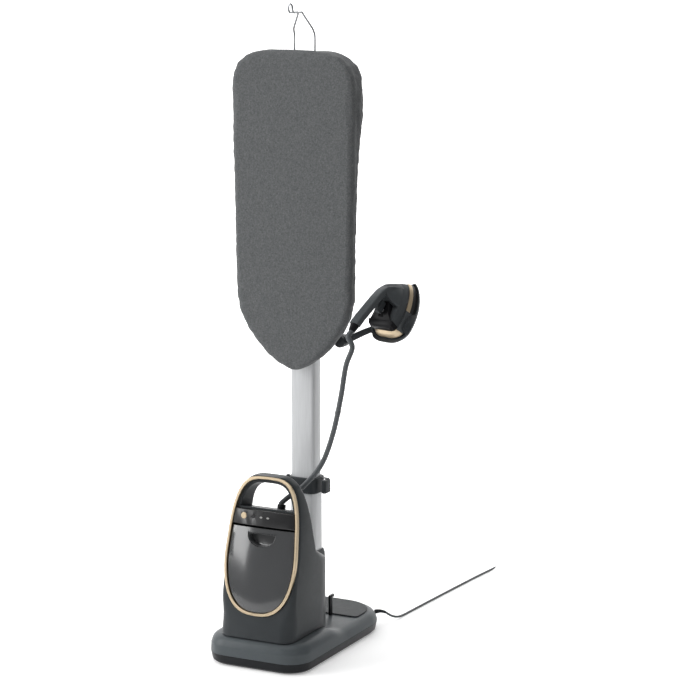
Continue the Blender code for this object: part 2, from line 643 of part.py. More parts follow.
def make_board():
    board_solid("board_cover", 0.0, BOARD_FRONT, lambda z: CORE_FRONT - GAP, 0.014, FABRIC)
    board_solid("board_core", 0.003, CORE_FRONT, core_back, 0.002, DARK_GREY)
    plate = box("board_bracket", (0, BOARD_BACK + GAP + 0.0028, 1.20), (0.110, 0.0052, 0.16), STEEL)
    lug = box("lug", (0, -0.009, TILT_AXIS_Z), (0.033, 0.042, 0.040), None)
    boolean(plate, lug, "UNION")
    boolean(plate, cylinder("lug hole", (0, 0, TILT_AXIS_Z), 0.004 + GAP, 0.1, None, axis=(1, 0, 0), sides=24))
    lever = box("tilt_lever", (0.108, -0.0295, 1.140), (0.090, 0.0055, 0.018), BLACK, 0.0015)
    grip = box("grip", (0.144, -0.0260, 1.140), (0.018, 0.0125, 0.018), None)
    boolean(lever, grip, "UNION")

    foot, shoulder, top = HANGER_LEG_FOOT, 1.700, 1.7495
    right = [(0.0310, HANGER_Y, foot), (0.0310, HANGER_Y, 1.55), (0.0310, HANGER_Y, 1.64),
             (0.0310, HANGER_Y, shoulder - 0.015), (0.0300, HANGER_Y - 0.004, shoulder - 0.003),
             (0.0272, HANGER_Y - 0.009, shoulder + 0.008), (0.0100, HANGER_Y - 0.021, top - 0.010),
             (0.0064, HANGER_Y - 0.0255, top - 0.001), (0.0058, HANGER_Y - 0.034, top),
             (0.0058, HANGER_Y - 0.060, top), (0.0058, HANGER_Y - 0.0735, top + 0.0015),
             (0.0058, HANGER_Y - 0.0790, top + 0.009), (0.0050, HANGER_Y - 0.0800, top + 0.0190)]
    loop = [(0.0, HANGER_Y - 0.0805, top + 0.0240)]
    left = [(-x, y, z) for x, y, z in reversed(right)]
    wire("hanger_wire", right + loop + left, WIRE_RADIUS, STEEL, resolution=1, smooth_steps=3)
    for side, name in ((-1, "hanger_guide_left"), (1, "hanger_guide_right")):
        guide = box(name, (side * 0.031, HANGER_Y + 0.0008, 1.610), (0.016, 0.0120, 0.050), BLACK)
        boolean(guide, cylinder("guide bore", (side * 0.031, HANGER_Y, 1.61), WIRE_RADIUS + 0.0005, 0.2, None,
                                sides=16))


# ---- Iron rest ----
def make_rest():
    clamp = loft("rest_clamp", [
        [(x, y, z) for x, y in pole_outline(grow)] for grow, z in (
            (GAP, 0.838), (0.0065, 0.838), (0.0075, 0.840), (0.0075, 0.884), (0.0065, 0.886), (GAP, 0.886))
    ], DARK_GREY, ring_closed=True)
    boolean(clamp, box("bar", (0.076, 0, KNOB_Z), (0.068, 0.016, 0.020), None), "UNION")
    boolean(clamp, cylinder("knuckle", (KNOB_X, 0, KNOB_Z), 0.017, 0.022, None, axis=(0, 1, 0), sides=32), "UNION")
    boolean(clamp, cylinder("stem hole", (KNOB_X, 0, KNOB_Z), 0.0035 + GAP, 0.08, None, axis=(0, 1, 0), sides=20))
    knob = cylinder("rest_knob", (KNOB_X, -0.0168, KNOB_Z), 0.0162, 0.0108, DARK_GREY, axis=(0, 1, 0),
                    sides=32, bevel=0.002)
    boolean(knob, cylinder("stem", (KNOB_X, 0.0, KNOB_Z), 0.0035, 0.025, None, axis=(0, 1, 0), sides=20), "UNION")
    sections = ((0.1316, 0.000, 0.868, 0.0075, 0.0110), (0.150, 0.004, 0.876, 0.007, 0.0100),
                (0.175, 0.012, 0.889, 0.007, 0.0095), (BOSS_X - GAP, 0.0161, 0.8975, 0.0085, 0.0085))
    rings = []
    for x, y, z, half_y, half_z in sections:
        rings.append([(x, y + py, z + pz) for py, pz in rounded(half_y, -half_z, half_z, 0.003, 0.003, 3)])
    loft("rest_arm", rings, DARK_GREY)
    make_cradle()


def iron_point(u, a, h):
    """A point given across, along and up from the iron's soleplate, where it rests."""
    swing, tilt = IRON_SWING, IRON_TILT
    across = Vector((math.cos(swing), -math.sin(swing), 0))
    along = Vector((math.cos(tilt) * math.sin(swing), math.cos(tilt) * math.cos(swing), math.sin(tilt)))
    return IRON_PLACE + across * u + along * a + across.cross(along) * h


def sole_outline(offset=0.0, steps=10):
    """The soleplate's outline, grown by offset, as (u, a) points: a pointed nose and a full heel."""
    half, waist = IRON_HALF_WIDTH + offset, 0.030
    nose, heel = IRON_NOSE + offset - waist, waist - IRON_HEEL + offset
    right = []
    for k in range(steps):
        share = math.cos(math.pi * k / (2 * steps))
        right.append((half * (1 - share ** 1.9) ** 0.72, waist + nose * share))
    for k in range(steps + 1):
        angle = math.pi * k / (2 * steps)
        right.append((half * max(0.0, math.cos(angle)) ** 0.6, waist - heel * math.sin(angle)))
    right[0], right[-1] = (0.0, right[0][1]), (0.0, right[-1][1])
    return right + [(-u, a) for u, a in reversed(right[1:-1])]


def make_cradle():
    """The cup that the iron rests in: high beside the waist, low at the heel and at the nose."""
    def rim(a):
        return 0.0105 if 0.010 < a < 0.058 else -0.0128

    def ring(offset, h=None):
        return [iron_point(u, a - 0.10 * max(0.0, 0.03 - a) * (offset > 0.003), rim(a) if h is None else h)
                for u, a in sole_outline(offset)]

    cup = loft("iron_cradle", [
        ring(-0.042, -0.0420), ring(-0.028, -0.0405), ring(-0.010, -0.0360), ring(0.002, -0.0280),
        ring(0.0075, -0.0180), ring(0.0085), ring(0.0055), ring(0.0050, -0.0145), ring(0.002, -0.0162),
        ring(-0.030, -0.0162)], MID_GREY)
    boss = box("boss", (0.5 * (BOSS_X + 0.2255), 0.0161, 0.8975), (0.2255 - BOSS_X, 0.017, 0.017), None)
    boolean(cup, boss, "UNION")


# ---- Iron ----
def nose_slice(h, low, nose, half, steps=10):
    """A level cut through the iron's front shell: straight behind, pointed in front."""
    right = []
    for k in range(steps + 1):
        share = math.sin(math.pi * k / (2 * steps))
        right.append((half * max(0.0, 1 - share ** 1.9) ** 0.72, low + (nose - low) * share))
    right[-1] = (0.0, nose)
    return [iron_point(u, a, h) for u, a in right + [(-u, a) for u, a in reversed(right[:-1])]]


def handle_bar():
    """The handle: a flat-sided bar that runs straight back from its bend over the nose."""
    route = [Vector(p) for p in ((HANDLE_REAR, 0.1150), (-0.051, 0.1150), (-0.028, 0.1110), (0.005, 0.1030),
                                 (0.040, 0.0945), (0.066, 0.0870), (0.083, 0.0775), (0.096, 0.0610),
                                 (0.107, 0.0420), (0.115, 0.0260))]
    rings = []
    for k, centre in enumerate(route):
        ahead = (route[min(k + 1, len(route) - 1)] - route[max(k - 1, 0)]).normalized()
        rings.append([iron_point(u, centre.x - ahead.y * t, centre.y + ahead.x * t)
                      for u, t in rounded(0.0145, -0.0095, 0.0095, 0.0045, 0.0045, 3)])
    return loft("handle bar", rings, None)


def make_iron():
    def sole_ring(offset, h):
        return [iron_point(u, a, h) for u, a in sole_outline(offset)]

    loft("soleplate", [sole_ring(-0.003, -0.0159), sole_ring(-0.0005, -0.0150), sole_ring(-0.0005, -0.0123)],
         STEEL)
    loft("iron_trim", [sole_ring(0.0, -0.0120), sole_ring(-0.0035, 0.0), sole_ring(-0.0095, 0.0105),
                       sole_ring(-0.0115, 0.0105), sole_ring(-0.0055, 0.0), sole_ring(-0.0020, -0.0120)],
         CHAMPAGNE, ring_closed=True)
    loft("heater_block", [sole_ring(-0.017, -0.0120), sole_ring(-0.017, 0.0065)], STEEL)

    shell = loft("iron_shell", [
        nose_slice(0.0108, SHELL_BACK, 0.147, 0.0440), nose_slice(0.0280, SHELL_BACK, 0.137, 0.0415),
        nose_slice(0.0372, SHELL_BACK + 0.002, 0.131, 0.0385), nose_slice(0.0375, COLUMN_BACK, 0.1305, 0.0345),
        nose_slice(0.0560, COLUMN_BACK + 0.0025, 0.118, 0.0260), nose_slice(0.0740, COLUMN_BACK + 0.007, 0.105, 0.0190),
        nose_slice(0.0850, COLUMN_BACK + 0.013, 0.096, 0.0150)], MID_GREY)
    boolean(shell, handle_bar(), "UNION")

    sections = ((-0.0040, 0.0110, 0.0270, 0.030), (0.0000, 0.0110, 0.0335, 0.0400),
                (SHELL_BACK - 0.0006, 0.0110, 0.0385, 0.0435), (SHELL_BACK - GAP, 0.0379, 0.0400, 0.0360),
                (0.0300, 0.0379, 0.0530, 0.0240), (COLUMN_BACK - GAP, 0.0379, 0.0600, 0.0170))
    core = loft("iron_core", [[iron_point(u, a, h) for u, h in rounded(half, low, high, 0.0009, 0.0009, 2)]
                              for a, low, high, half in sections], BLACK)
    boolean(core, loft("trigger slot", [[iron_point(u, a, h) for u, a in
                                         ((0.0085, 0.014), (0.0085, 0.0565), (-0.0085, 0.0565), (-0.0085, 0.014))]
                                        for h in (0.0440, 0.09)], None))
    loft("steam_trigger", [[iron_point(u, a, h + rise * (a - 0.018)) for u, a in
                            ((half, 0.019), (half, 0.053), (-half, 0.053), (-half, 0.019))]
                           for half, h, rise in ((0.0075, 0.0560, 0.0), (0.0075, 0.0700, 0.16), (0.0060, 0.0715, 0.16))],
         DARK_GREY)
    turns = [iron_point(0.0038 * math.cos(0.5 * math.pi * k), 0.036 + 0.0038 * math.sin(0.5 * math.pi * k),
                        0.0450 + 0.0100 * k / 20) for k in range(21)]
    wire("trigger_spring", turns, 0.0006, STEEL, resolution=1)
    along = iron_point(0, 1, 0) - iron_point(0, 0, 0)
    cuff = cylinder("hose_cuff", iron_point(0, HANDLE_REAR - GAP - 0.010, 0.1150), 0.0090, 0.020, BLACK,
                    axis=along, sides=24, top=0.0125)
    boolean(cuff, cylinder("cuff bore", iron_point(0, HANDLE_REAR - 0.02, 0.1150), HOSE_RADIUS + 0.0004, 0.034,
                           None, axis=along, sides=24))


# ---- Hose and mains cord ----
def make_hose():
    out_axis = on_face(0, 1, 0) - on_face(0, 0, 0)
    seat = on_face(OUTLET_X, HANDLE_SPACE_LOW + GAP, OUTLET_OUT)
    end = [iron_point(0, HANDLE_REAR - back, 0.1150) for back in (0.040, 0.022, 0.0055)]
    route = [seat + out_axis * 0.0015, seat + out_axis * 0.009, seat + out_axis * 0.017,
             (0.038, -0.149, 0.457), (0.066, -0.130, 0.482),
             (0.117, -0.130, 0.545), (0.159, -0.146, 0.635), (0.191, -0.162, 0.740), (0.2125, -0.174, 0.830),
             (0.2330, -0.177, 0.882)] + end
    wire("steam_hose", route, HOSE_RADIUS, HOSE_GREY, resolution=2, smooth_steps=6)


def make_cord():
    out = Vector((math.cos(math.radians(45)), math.sin(math.radians(45)), 0.0))
    root = Vector((BASE_HALF_WIDTH - 0.115, BASE_BACK - 0.115, 0.0420))
    cylinder("cord_gland", root + out * 0.1184, 0.0062, 0.010, BLACK, axis=out, sides=20, bevel=0.001)
    start = root + out * (0.1234 + 0.0006)
    floor = CORD_RADIUS + 0.0002
    route = [start, start + out * 0.006, (0.1370, 0.2220, 0.0355), (0.1440, 0.2480, 0.0190), (0.1480, 0.2780, 0.0080),
             (0.1500, 0.3150, floor), (0.1530, 0.3700, floor), (0.1565, 0.4300, floor), (0.1605, 0.5000, floor),
             (0.1650, 0.5800, floor), (0.1705, 0.6700, floor), (0.1780, 0.7800, floor), (0.1850, 0.8600, floor),
             (0.1900, 0.9100, floor), (0.1940, 0.9450, floor), (0.1957, 0.9835, floor)]
    wire("mains_cord", route, CORD_RADIUS, BLACK, resolution=2, smooth_steps=6)

    half = 0.0098
    profile = [(COIL_RADIUS - 0.005, half), (COIL_RADIUS, half - 0.005), (COIL_RADIUS, -half + 0.005),
               (COIL_RADIUS - 0.005, -half), (COIL_HOLE + 0.003, -half), (COIL_HOLE, -half + 0.003),
               (COIL_HOLE, half - 0.003), (COIL_HOLE + 0.003, half)]
    rings = [[COIL_CENTRE + Vector((r * math.cos(math.tau * k / 32), r * math.sin(math.tau * k / 32), z))
              for k in range(32)] for r, z in profile]
    loft("mains_cord_coil", rings, BLACK, ring_closed=True)

    body = COIL_CENTRE + Vector((0.069, 0.0385, 0.0))
    plug = cylinder("mains_plug", (body.x, body.y, 0.0168), 0.0165, 0.034, BLACK, axis=(1, 0, 0), sides=24,
                    bevel=0.003)
    plug.modifiers[0].segments = 1
    for side in (-1, 1):
        pin = cylinder("pin", (body.x + 0.025, body.y + side * 0.0095, 0.0168), 0.0024, 0.020, None,
                       axis=(1, 0, 0), sides=12)
        boolean(plug, pin, "UNION")


def make_clip():
    """The cord clip standing behind the tower."""
    clip = box("cord_clip", (0.048, 0.0530, 0.0900), (0.006, 0.0150, 0.0585), BLACK, 0.0012)
    hook = box("hook", (0.048, 0.0640, 0.1150), (0.006, 0.0120, 0.008), None)
    boolean(clip, hook, "UNION")


make_base()
make_pole()
make_tower()
make_board()
make_rest()
make_iron()
make_hose()
make_clip()
make_cord()
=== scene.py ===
"""A standing steam ironing station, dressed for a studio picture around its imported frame.

Sections: driving dimensions, helpers, materials, hard pieces, board cover, hose, mains cord, studio.
"""
import json
import math

import bmesh
import bpy
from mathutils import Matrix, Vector, noise


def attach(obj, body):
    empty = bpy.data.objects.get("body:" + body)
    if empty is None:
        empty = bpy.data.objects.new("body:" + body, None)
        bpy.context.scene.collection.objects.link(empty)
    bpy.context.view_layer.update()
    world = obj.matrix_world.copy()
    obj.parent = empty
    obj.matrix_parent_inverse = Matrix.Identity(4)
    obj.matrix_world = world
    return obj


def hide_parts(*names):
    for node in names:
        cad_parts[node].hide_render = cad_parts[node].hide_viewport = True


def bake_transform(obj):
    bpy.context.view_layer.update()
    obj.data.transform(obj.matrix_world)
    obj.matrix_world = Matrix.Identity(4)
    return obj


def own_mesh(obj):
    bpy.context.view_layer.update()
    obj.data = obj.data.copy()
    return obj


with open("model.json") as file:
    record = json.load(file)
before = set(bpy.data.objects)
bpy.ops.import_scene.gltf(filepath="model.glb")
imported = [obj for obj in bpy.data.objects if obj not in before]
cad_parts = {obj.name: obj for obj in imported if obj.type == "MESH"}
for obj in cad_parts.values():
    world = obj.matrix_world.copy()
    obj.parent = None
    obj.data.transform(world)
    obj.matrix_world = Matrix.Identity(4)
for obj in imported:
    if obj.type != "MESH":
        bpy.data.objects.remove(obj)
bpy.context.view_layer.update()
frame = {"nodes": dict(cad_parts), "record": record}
nodes = frame["nodes"]
slots = {part["node"]: part["material_slot"] for part in frame["record"]["subparts"]}
body_of = {node: body for body, members in frame["record"]["behaviour"]["bodies"].items()
           for node in members}

# ---- Driving dimensions, in metres ----
# The board: its heights, its two faces, and its half width, which flares from the tip's end upward.
BOARD_TIP_Z, TIP_END_Z, SHOULDER_Z, BOARD_TOP_Z = 0.776, 0.970, 1.520, 1.657
BOARD_FRONT, BOARD_BACK = -0.080, -0.034
BOARD_HALF_WIDTH, BOARD_FLARE, FLARE_HEIGHT = 0.181, 0.010, 0.545
SHOULDER_POWER = 3.5

# The tower's front face, and the iron's soleplate where it rests.
FACE_FOOT = Vector((0, -0.305, 0.105))
FACE_LEAN = math.atan(0.22)
IRON_PLACE = Vector((0.2595, -0.030, 0.905))
IRON_SWING, IRON_TILT = math.radians(15), math.radians(48)
HANDLE_END_BACK, HANDLE_END_HEIGHT = 0.058, 0.1150

# The hose, and the height where its two lengths meet.
HOSE_RADIUS = 0.0071
HOSE_OUTLET = (0.013, 0.3333, -0.066)
HOSE_MEET_Z = 0.700
HOSE_SIDES = 24

# The mains cord, the gland that it leaves at 45 degrees, and its round coil.
CORD_RADIUS = 0.00325
GLAND_ROOT = Vector((0.037, 0.114, 0.0420))
GLAND_ANGLE, GLAND_REACH = math.radians(45), 0.1240
COIL_CENTRE = Vector((0.238, 1.005, 0.0))
COIL_OUTER, COIL_STEP = 0.0385, 0.0066
COIL_STEPS_PER_TURN = 20

# The studio's camera.
CAMERA_PLACE = (3.0852, -5.8119, 2.08)
CAMERA_TURN, CAMERA_DROP = 26.9, 10.79
CAMERA_LENS, SENSOR_WIDTH = 125.2, 36.0


# ---- Helpers ----
def on_face(x, s, out=0.0):
    """A point on the tower's leaning face: x across, s up the face, out along its normal."""
    up = Vector((0, math.sin(FACE_LEAN), math.cos(FACE_LEAN)))
    normal = Vector((0, -math.cos(FACE_LEAN), math.sin(FACE_LEAN)))
    return FACE_FOOT + Vector((x, 0, 0)) + up * s + normal * out


def iron_point(u, a, h):
    """A point across, along and up from the iron's soleplate, where it rests."""
    across = Vector((math.cos(IRON_SWING), -math.sin(IRON_SWING), 0))
    along = Vector((math.cos(IRON_TILT) * math.sin(IRON_SWING), math.cos(IRON_TILT) * math.cos(IRON_SWING),
                    math.sin(IRON_TILT)))
    return IRON_PLACE + across * u + along * a + across.cross(along) * h


def link(obj, material=None):
    bpy.context.scene.collection.objects.link(obj)
    if material:
        obj.data.materials.clear()
        obj.data.materials.append(material)
    return obj


def mesh_object(name, bm, material=None, smooth_angle=35):
    mesh = bpy.data.meshes.new(name)
    bm.to_mesh(mesh)
    bm.free()
    mesh.shade_smooth()
    mesh.set_sharp_from_angle(angle=math.radians(smooth_angle))
    return link(bpy.data.objects.new(name, mesh), material)


def catmull(points, steps):
    """A smooth curve through the points."""
    points = [Vector(p) for p in points]
    points = [2 * points[0] - points[1]] + points + [2 * points[-1] - points[-2]]
    route = []
    for a, b, c, d in zip(points, points[1:], points[2:], points[3:]):
        for k in range(steps):
            t = k / steps
            route.append(0.5 * (2 * b + (c - a) * t + (2 * a - 5 * b + 4 * c - d) * t * t
                                + (3 * b - a - 3 * c + d) * t ** 3))
    return route + [points[-2]]


def tube(name, route, radius, material, sides=16):
    """A round tube along a route. Its UV map runs round in U and along, in metres, in V.

    The radius is a number, or a function of the share of the route's points passed."""
    bm = bmesh.new()
    uv = bm.loops.layers.uv.new("route")
    radii = radius if callable(radius) else (lambda share: radius)
    normal = Vector((0, 0, 1)).cross(route[1] - route[0])
    if normal.length < 1e-6:
        normal = Vector((1, 0, 0))
    normal.normalize()
    rings, lengths, length = [], [], 0.0
    for k, point in enumerate(route):
        ahead = route[min(k + 1, len(route) - 1)] - route[max(k - 1, 0)]
        ahead.normalize()
        normal = (normal - ahead * normal.dot(ahead)).normalized()
        side = ahead.cross(normal)
        if k:
            length += (point - route[k - 1]).length
        lengths.append(length)
        wide = radii(k / (len(route) - 1))
        rings.append([bm.verts.new(point + wide * (normal * math.cos(math.tau * i / sides)
                                                   + side * math.sin(math.tau * i / sides)))
                      for i in range(sides)])
    for k in range(len(rings) - 1):
        for i in range(sides):
            j = (i + 1) % sides
            face = bm.faces.new((rings[k][i], rings[k][j], rings[k + 1][j], rings[k + 1][i]))
            corners = ((i, k), (i + 1, k), (i + 1, k + 1), (i, k + 1))
            for loop, (around, along) in zip(face.loops, corners):
                loop[uv].uv = (around / sides, lengths[along])
    bm.faces.new(rings[0][::-1])
    bm.faces.new(rings[-1])
    return mesh_object(name, bm, material, 50)


def own(piece, body, slot, *replaced):
    """Rides a piece on its body and hides the CAD nodes that it stands for; the slot argument is not used.
    """
    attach(piece, body)
    if replaced:
        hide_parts(*replaced)
    return piece


# ---- Materials ----
class Look:
    """A material being made: its Principled shader, and textures in the object's own metres."""

    def __init__(self, name, **values):
        self.material = bpy.data.materials.new(name)
        self.material.use_nodes = True
        self.tree = self.material.node_tree
        self.shader = self.tree.nodes["Principled BSDF"]
        self.place = self.add("ShaderNodeTexCoord").outputs["Object"]
        for key, value in values.items():
            socket = self.shader.inputs[key.replace("_", " ").title().replace("Ior", "IOR")]
            socket.default_value = (*value, 1.0) if isinstance(value, tuple) else value

    def add(self, kind, **settings):
        node = self.tree.nodes.new(kind)
        for key, value in settings.items():
            setattr(node, key, value)
        return node

    def join(self, output, socket):
        self.tree.links.new(output, socket)

    def stretched(self, stretch, source=None):
        mapping = self.add("ShaderNodeMapping")
        mapping.inputs["Scale"].default_value = stretch
        self.join(source or self.place, mapping.inputs["Vector"])
        return mapping.outputs["Vector"]

    def noise(self, scale, detail=2.0, stretch=None, source=None):
        node = self.add("ShaderNodeTexNoise")
        node.inputs["Scale"].default_value = scale
        node.inputs["Detail"].default_value = detail
        place = self.stretched(stretch, source) if stretch else (source or self.place)
        self.join(place, node.inputs["Vector"])
        return node.outputs["Fac"]

    def wave(self, scale, direction, source=None):
        node = self.add("ShaderNodeTexWave", bands_direction=direction)
        node.inputs["Scale"].default_value = scale
        self.join(source or self.place, node.inputs["Vector"])
        return node.outputs["Fac"]

    def blend(self, factor, low, high, start=0.3, end=0.7):
        """A colour that goes from low to high as the factor passes from start to end."""
        ramp = self.add("ShaderNodeValToRGB")
        ramp.color_ramp.elements[0].position = start
        ramp.color_ramp.elements[1].position = end
        ramp.color_ramp.elements[0].color = (*low, 1.0)
        ramp.color_ramp.elements[1].color = (*high, 1.0)
        self.join(factor, ramp.inputs["Fac"])
        return ramp.outputs["Color"]

    def mix(self, factor, a, b, kind="MIX"):
        node = self.add("ShaderNodeMix", data_type="RGBA", blend_type=kind)
        for value, socket in ((factor, node.inputs["Factor"]), (a, node.inputs["A"]), (b, node.inputs["B"])):
            if isinstance(value, (int, float)):
                socket.default_value = value
            elif isinstance(value, tuple):
                socket.default_value = (*value, 1.0)
            else:
                self.join(value, socket)
        return node.outputs["Result"]

    def colour(self, output):
        self.join(output, self.shader.inputs["Base Color"])
        return self

    def rough(self, factor, low, high):
        node = self.add("ShaderNodeMapRange")
        node.inputs["To Min"].default_value = low
        node.inputs["To Max"].default_value = high
        self.join(factor, node.inputs["Value"])
        self.join(node.outputs["Result"], self.shader.inputs["Roughness"])
        return self

    def bump(self, height, distance, strength=0.6):
        node = self.add("ShaderNodeBump")
        node.inputs["Distance"].default_value = distance
        node.inputs["Strength"].default_value = strength
        self.join(height, node.inputs["Height"])
        last = self.shader.inputs["Normal"]
        if last.is_linked:
            self.join(last.links[0].from_socket, node.inputs["Normal"])
        self.join(node.outputs["Normal"], last)
        return self


def shade(colour, share):
    return tuple(channel * share for channel in colour)


def moulded(name, colour, roughness, grain=0.00006, spread=0.05, **values):
    """Moulded plastic: fine spark-eroded grain, and faint unevenness in tone and gloss."""
    look = Look(name, **{"specular_ior_level": 0.18, **values})
    cloudy = look.noise(14, 3)
    look.colour(look.blend(cloudy, shade(colour, 1 - spread), shade(colour, 1 + spread)))
    look.rough(look.noise(70, 3), roughness - 0.05, roughness + 0.05)
    look.bump(look.noise(1500, 2), grain, 0.5)
    return look.material


def metal(name, colour, roughness, stretch=(1, 1, 1), spread=0.06, streak=400, grain=0.00002, **values):
    """Metal with fine streaks along its drawn or brushed direction."""
    look = Look(name, **{"metallic": 1.0, **values})
    streaks = look.noise(streak, 3, stretch)
    look.colour(look.blend(streaks, shade(colour, 1 - spread), shade(colour, 1 + spread)))
    look.rough(look.noise(streak * 0.5, 2, stretch), roughness - 0.06, roughness + 0.06)
    look.bump(streaks, grain, 0.4)
    return look.material


def melange(name, warp, weft):
    """Grey melange cloth: flecked yarns in a plain weave, with a soft bloom at grazing angles."""
    look = Look(name, sheen_weight=0.12, sheen_roughness=0.45, specular_ior_level=0.25)
    across = look.noise(620, 2, (1.0, 1.0, 0.3))
    along = look.noise(620, 2, (0.3, 0.6, 1.0))
    flecks = look.mix(0.5, across, along)
    tone = look.blend(flecks, warp, weft, 0.36, 0.64)
    clouds = look.blend(look.noise(160, 4), (0.90, 0.90, 0.90), (1.08, 1.08, 1.08), 0.35, 0.65)
    look.colour(look.mix(1.0, tone, clouds, "MULTIPLY"))
    look.rough(look.noise(200, 2), 0.86, 0.98)
    weave_x = look.wave(260, "X")
    weave_z = look.wave(260, "Z")
    look.bump(look.mix(0.5, weave_x, weave_z), 0.00025, 0.35)
    look.bump(look.noise(420, 3), 0.0003, 0.35)
    return look.material


def braided(name, colour, light):
    """A textile sleeve over a hose: two sets of strands crossing, following the hose's own UV."""
    look = Look(name, specular_ior_level=0.4)
    route = look.add("ShaderNodeUVMap", uv_map="route").outputs["UV"]
    left = look.wave(7.0, "DIAGONAL", look.stretched((2.0, 330.0, 1.0), route))
    right = look.wave(7.0, "DIAGONAL", look.stretched((-2.0, 330.0, 1.0), route))
    strands = look.mix(0.5, left, right)
    look.colour(look.blend(strands, colour, light, 0.2, 0.8))
    look.rough(look.noise(300, 2), 0.42, 0.58)
    look.bump(strands, 0.00018, 0.5)
    return look.material


def smoked(name, colour, roughness):
    """Smoke-tinted plastic that lets a little light through, under a glossy skin."""
    look = Look(name, transmission_weight=0.25, ior=1.45, coat_weight=0.8, coat_roughness=0.10)
    look.colour(look.blend(look.noise(6, 2), shade(colour, 0.94), shade(colour, 1.06)))
    look.rough(look.noise(40, 2), roughness, roughness + 0.04)
    return look.material


TOWER_TONE = (0.031, 0.035, 0.038)
BASE_TONE = (0.068, 0.078, 0.084)
IRON_TONE = (0.056, 0.062, 0.066)
CHAMPAGNE_TONE = (0.60, 0.485, 0.335)

looks = {
    "tower_grey": moulded("tower_grey", TOWER_TONE, 0.42),
    "base_grey": moulded("base_grey", BASE_TONE, 0.38),
    "rim_black": moulded("rim_black", (0.013, 0.014, 0.016), 0.36, specular_ior_level=0.14),
    "panel_gloss": moulded("panel_gloss", (0.011, 0.011, 0.012), 0.30, grain=0.000004,
                           specular_ior_level=0.5),
    "tank_smoke": smoked("tank_smoke", (0.062, 0.064, 0.067), 0.14),
    "champagne": metal("champagne", CHAMPAGNE_TONE, 0.36, streak=300),
    "pole_silver": metal("pole_silver", (0.56, 0.57, 0.58), 0.38, (1, 1, 0.02), streak=900,
                         metallic=0.22),
    "steel": metal("steel", (0.30, 0.31, 0.32), 0.38, (1, 1, 0.1)),
    "heater_metal": metal("heater_metal", (0.50, 0.50, 0.51), 0.5, grain=0.0001, streak=200),
    "ballast": moulded("ballast", (0.05, 0.05, 0.052), 0.7, grain=0.0003),
    "brass_pipe": metal("brass_pipe", (0.75, 0.55, 0.22), 0.3),
    "cover_fabric": melange("cover_fabric", (0.074, 0.078, 0.080), (0.128, 0.132, 0.135)),
    "board_padding": moulded("board_back", (0.055, 0.059, 0.062), 0.5, grain=0.0001),
    "iron_grey": moulded("iron_grey", IRON_TONE, 0.40),
    "iron_black": moulded("iron_black", (0.007, 0.007, 0.008), 0.42, specular_ior_level=0.1),
    "ceramic_sole": metal("ceramic_sole", (0.20, 0.18, 0.16), 0.3),
    "hose_grey": braided("hose_grey", (0.030, 0.034, 0.037), (0.105, 0.115, 0.122)),
    "cord_grey": moulded("cord_grey", (0.065, 0.070, 0.072), 0.45, grain=0.00005),
    "foot_rubber": moulded("foot_rubber", (0.025, 0.025, 0.025), 0.8, grain=0.0001),
    "lens_white": moulded("lens_white", (0.34, 0.34, 0.33), 0.3),
    "circuit_green": moulded("circuit_green", (0.03, 0.14, 0.07), 0.45),
}


# ---- Hard pieces ----
HEEL_BAND_END, NOSE_BAND_START, BAND_SPLIT_HEIGHT = 0.006, 0.066, 0.001


def iron_trim_look():
    """The iron's side band: champagne at the heel and on the inner half beside the nose, painted shadow in
    near black on the outer half beside the nose for the shaded gap to the cradle's wall, and grey between.
    """
    look = Look("iron_trim_band")
    along = iron_point(0, 1, 0) - iron_point(0, 0, 0)
    place = look.add("ShaderNodeVectorMath", operation="DOT_PRODUCT")
    look.join(look.place, place.inputs[0])
    place.inputs[1].default_value = along
    outward = iron_point(0, 0, 1) - iron_point(0, 0, 0)
    height = look.add("ShaderNodeVectorMath", operation="DOT_PRODUCT")
    look.join(look.place, height.inputs[0])
    height.inputs[1].default_value = outward

    def compare(kind, value, edge):
        test = look.add("ShaderNodeMath", operation=kind)
        look.join(value, test.inputs[0])
        if isinstance(edge, float):
            test.inputs[1].default_value = edge
        else:
            look.join(edge, test.inputs[1])
        return test.outputs["Value"]

    foot, level = IRON_PLACE.dot(along), IRON_PLACE.dot(outward)
    heel = compare("LESS_THAN", place.outputs["Value"], foot + HEEL_BAND_END)
    nose = compare("GREATER_THAN", place.outputs["Value"], foot + NOSE_BAND_START)
    inner = compare("GREATER_THAN", height.outputs["Value"], level + BAND_SPLIT_HEIGHT)
    gold = compare("MAXIMUM", heel, compare("MULTIPLY", nose, inner))
    # Painted shadow: beside the nose the band's outer half is near black, standing in for the shade in the
    # gap between the band and the cradle's wall.
    sides = look.mix(nose, IRON_TONE, (0.008, 0.008, 0.009))
    look.colour(look.mix(gold, sides, CHAMPAGNE_TONE))
    look.join(gold, look.shader.inputs["Metallic"])
    look.rough(look.noise(200, 3), 0.32, 0.42)
    look.bump(look.noise(900, 2), 0.00002, 0.4)
    return look.material


CROWNED_NODES = {"water_tank", "control_panel", "iron_shell"}
OWN_LOOKS = {
    "iron_trim": iron_trim_look(),
    "tail_panel": moulded("tail_panel_dark", (0.016, 0.019, 0.021), 0.45, specular_ior_level=0.12),
}


SHARP_DEGREES = 32
EDGE_WIDTH = 0.0006
OTHER_EDGE_WIDTHS = {
    0.0015: ("base_cover", "base_tray"),
    0.0012: ("tower_shell", "tower_rear_cover"),
    0.0010: ("iron_shell", "iron_cradle"),
    0.0008: ("water_tank", "pole_collar"),
    0.0004: ("power_button", "steam_button"),
    0.0003: ("foot_pad_front_left", "foot_pad_front_right", "foot_pad_rear_left", "foot_pad_rear_right",
             "lever_pin", "tilt_pin", "tank_valve"),
    0.0: ("trim_ring", "outer_pole", "inner_pole", "hanger_wire", "trigger_spring", "feed_pipe", "iron_trim",
          "left_lens", "right_lens", "control_board"),
}
SOFT_NODES = {"board_cover", "board_core", "steam_hose", "mains_cord", "mains_cord_coil"}


